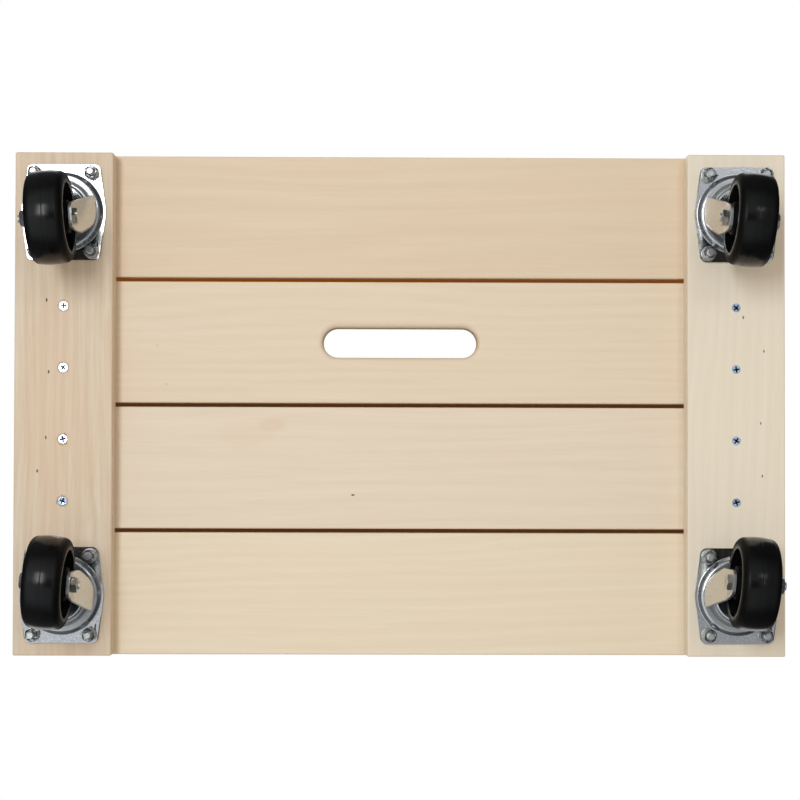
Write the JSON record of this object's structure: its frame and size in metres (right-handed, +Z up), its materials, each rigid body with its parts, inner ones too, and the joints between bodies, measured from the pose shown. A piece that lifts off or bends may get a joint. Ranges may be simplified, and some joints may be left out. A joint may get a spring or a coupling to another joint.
{
  "type": "wooden platform dolly",
  "caption": "Flat slatted wooden dolly on swivel casters, with cross battens under the deck and a hand-hold slot, for moving heavy loads.",
  "frame": {"origin": "on the floor under the middle of the deck, where the dolly stands on its wheels", "axes": "+X along the deck boards, +Y from the front edge near the hand-hold slot to the rear edge, +Z up out of the deck"},
  "size_m": [0.63, 0.4122, 0.14],
  "materials": {
    "deck_wood": "bare planed softwood",
    "batten_wood": "bare planed softwood",
    "zinc_steel": "bright zinc plated pressed steel",
    "zinc_screws": "blue-white zinc plated steel",
    "bearing_steel": "polished bearing steel",
    "wheel_rubber": "black moulded hard rubber, satin"
  },
  "bodies": {
    "deck": {"batten_left": "batten_wood", "batten_right": "batten_wood", "batten_screws": "zinc_screws", "caster_bolts": "zinc_steel", "caster_lock_washers": "zinc_steel", "caster_nuts": "zinc_steel", "deck_board_1": "deck_wood", "deck_board_2": "deck_wood", "deck_board_3": "deck_wood", "deck_board_4": "deck_wood", "front_left_kingpin": "zinc_steel", "front_left_lower_balls": "bearing_steel", "front_left_plate": "zinc_steel", "front_left_race_cup": "zinc_steel", "front_left_spacer": "zinc_steel", "front_left_upper_balls": "bearing_steel", "front_right_kingpin": "zinc_steel", "front_right_lower_balls": "bearing_steel", "front_right_plate": "zinc_steel", "front_right_race_cup": "zinc_steel", "front_right_spacer": "zinc_steel", "front_right_upper_balls": "bearing_steel", "rear_left_kingpin": "zinc_steel", "rear_left_lower_balls": "bearing_steel", "rear_left_plate": "zinc_steel", "rear_left_race_cup": "zinc_steel", "rear_left_spacer": "zinc_steel", "rear_left_upper_balls": "bearing_steel", "rear_right_kingpin": "zinc_steel", "rear_right_lower_balls": "bearing_steel", "rear_right_plate": "zinc_steel", "rear_right_race_cup": "zinc_steel", "rear_right_spacer": "zinc_steel", "rear_right_upper_balls": "bearing_steel"},
    "front_left_swivel": {"front_left_fork": "zinc_steel", "front_left_axle_bolt": "zinc_steel", "front_left_axle_nut": "zinc_steel", "front_left_axle_sleeve": "zinc_steel"},
    "front_left_roller": {"front_left_wheel": "wheel_rubber"},
    "front_right_swivel": {"front_right_fork": "zinc_steel", "front_right_axle_bolt": "zinc_steel", "front_right_axle_nut": "zinc_steel", "front_right_axle_sleeve": "zinc_steel"},
    "front_right_roller": {"front_right_wheel": "wheel_rubber"},
    "rear_left_swivel": {"rear_left_fork": "zinc_steel", "rear_left_axle_bolt": "zinc_steel", "rear_left_axle_nut": "zinc_steel", "rear_left_axle_sleeve": "zinc_steel"},
    "rear_left_roller": {"rear_left_wheel": "wheel_rubber"},
    "rear_right_swivel": {"rear_right_fork": "zinc_steel", "rear_right_axle_bolt": "zinc_steel", "rear_right_axle_nut": "zinc_steel", "rear_right_axle_sleeve": "zinc_steel"},
    "rear_right_roller": {"rear_right_wheel": "wheel_rubber"}
  },
  "joints": [
    {"name": "front_left_swivel_turn", "type": "hinge", "parent": "deck", "child": "front_left_swivel", "pos_m": [-0.275, -0.15585, 0.09], "axis": [0, 0, 1], "continuous": true},
    {"name": "front_left_wheel_roll", "type": "hinge", "parent": "front_left_swivel", "child": "front_left_roller", "pos_m": [-0.27422, -0.14237, 0.03675], "axis": [-0.9983, 0.0576, 0], "continuous": true},
    {"name": "front_right_swivel_turn", "type": "hinge", "parent": "deck", "child": "front_right_swivel", "pos_m": [0.275, -0.15585, 0.09], "axis": [0, 0, 1], "continuous": true},
    {"name": "front_right_wheel_roll", "type": "hinge", "parent": "front_right_swivel", "child": "front_right_roller", "pos_m": [0.27392, -0.14239, 0.03675], "axis": [-0.9968, -0.0802, 0], "continuous": true},
    {"name": "rear_left_swivel_turn", "type": "hinge", "parent": "deck", "child": "rear_left_swivel", "pos_m": [-0.275, 0.15585, 0.09], "axis": [0, 0, 1], "continuous": true},
    {"name": "rear_left_wheel_roll", "type": "hinge", "parent": "rear_left_swivel", "child": "rear_left_roller", "pos_m": [-0.27399, 0.14239, 0.03675], "axis": [0.9972, 0.075, 0], "continuous": true},
    {"name": "rear_right_swivel_turn", "type": "hinge", "parent": "deck", "child": "rear_right_swivel", "pos_m": [0.275, 0.15585, 0.09], "axis": [0, 0, 1], "continuous": true},
    {"name": "rear_right_wheel_roll", "type": "hinge", "parent": "rear_right_swivel", "child": "rear_right_roller", "pos_m": [0.27601, 0.14239, 0.03675], "axis": [0.9972, 0.075, 0], "continuous": true}
  ]
}
